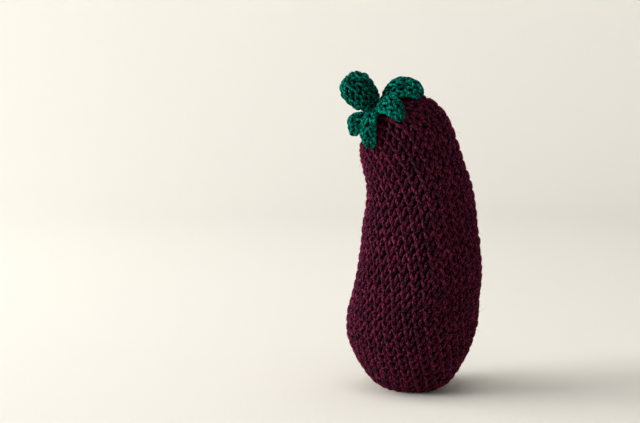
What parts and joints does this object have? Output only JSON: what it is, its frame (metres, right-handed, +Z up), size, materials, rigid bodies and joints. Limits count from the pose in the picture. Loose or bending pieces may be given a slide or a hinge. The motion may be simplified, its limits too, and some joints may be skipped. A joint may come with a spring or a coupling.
{
  "type": "crocheted toy eggplant",
  "caption": "Stuffed toy eggplant crocheted in wool, with a bent body, a green crown of curled leaves and a padded stem, standing on a small flat spot.",
  "frame": {"origin": "middle of the small flat spot that the toy stands on", "axes": "+Z up, -Y towards the front as pictured, +X to the right; the neck bends towards -X"},
  "size_m": [0.0712, 0.0666, 0.1591],
  "materials": {
    "body_yarn": "matte wool yarn in single crochet, with a soft fuzz",
    "crown_yarn": "matte wool yarn in single crochet, with a soft fuzz",
    "fibre_filling": "loose polyester fibre, packed"
  },
  "bodies": {
    "root": {"body_cover": "body_yarn", "body_filling": "fibre_filling", "closing_tail": "body_yarn", "calyx": "crown_yarn", "stem_cover": "crown_yarn", "stem_filling": "fibre_filling", "sewing_strand": "crown_yarn"}
  },
  "joints": []
}
